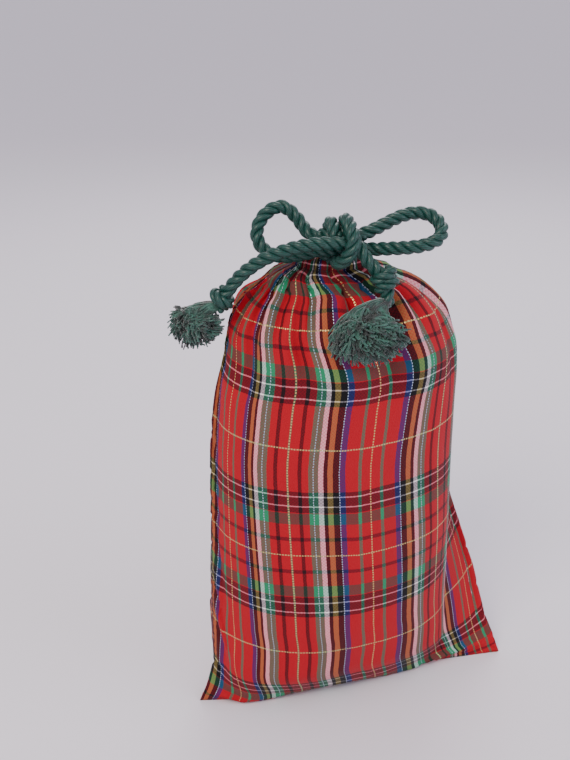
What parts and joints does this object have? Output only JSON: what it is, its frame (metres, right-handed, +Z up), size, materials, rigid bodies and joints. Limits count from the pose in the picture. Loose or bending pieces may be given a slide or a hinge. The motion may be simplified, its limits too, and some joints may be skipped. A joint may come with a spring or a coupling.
{
  "type": "drawstring gift sack",
  "caption": "Filled cloth gift sack with a gathered mouth, tied in a bow with a twisted cord that ends in knots and tassels.",
  "frame": {"origin": "on the floor at the middle of the sack's own box, without the free cord", "axes": "+Z up, +X towards the sack's right as seen from the front, +Y from the front to the back"},
  "size_m": [0.1726, 0.0859, 0.2477],
  "materials": {
    "tartan_cloth": "plain woven cotton tartan with metallic threads",
    "satin_cord": "twisted satin yarn, soft sheen",
    "cord_yarn": "unravelled satin yarn",
    "gift_filling": "soft wrapped filling"
  },
  "bodies": {
    "sack": {"front_panel": "tartan_cloth", "back_panel": "tartan_cloth", "left_side_seam": "tartan_cloth", "right_side_seam": "tartan_cloth", "bottom_seam": "tartan_cloth", "front_casing": "tartan_cloth", "back_casing": "tartan_cloth", "filling": "gift_filling", "neck_cord": "satin_cord", "bow_knot": "satin_cord"},
    "bow_left": {"left_loop": "satin_cord"},
    "bow_right": {"right_loop": "satin_cord"},
    "tail_left": {"left_tail": "satin_cord", "left_stopper_knot": "satin_cord"},
    "tassel_left": {"left_tassel": "cord_yarn"},
    "tail_right": {"right_tail": "satin_cord", "right_stopper_knot": "satin_cord"},
    "tassel_right": {"right_tassel": "cord_yarn"}
  },
  "joints": [
    {"name": "left_loop_lift", "type": "hinge", "parent": "sack", "child": "bow_left", "pos_m": [-0.012, -0.009, 0.2315], "axis": [0.2419, 0.9703, 0], "range_deg": [0, 25]},
    {"name": "right_loop_lift", "type": "hinge", "parent": "sack", "child": "bow_right", "pos_m": [-0.012, -0.009, 0.2315], "axis": [-0.2419, -0.9703, 0], "range_deg": [0, 25]},
    {"name": "left_tail_lift", "type": "hinge", "parent": "sack", "child": "tail_left", "pos_m": [-0.012, -0.009, 0.2315], "axis": [0.2419, 0.9703, 0], "range_deg": [0, 35]},
    {"name": "right_tail_lift", "type": "hinge", "parent": "sack", "child": "tail_right", "pos_m": [-0.012, -0.009, 0.2315], "axis": [-0.9703, 0.2419, 0], "range_deg": [0, 60]},
    {"name": "left_tassel_swing", "type": "hinge", "parent": "tail_left", "child": "tassel_left", "pos_m": [-0.06444, -0.0052, 0.2081], "axis": [0.2419, 0.9703, 0], "range_deg": [0, 40]},
    {"name": "right_tassel_swing", "type": "hinge", "parent": "tail_right", "child": "tassel_right", "pos_m": [0.00291, -0.02941, 0.2123], "axis": [-0.9703, 0.2419, 0], "range_deg": [0, 50]}
  ]
}
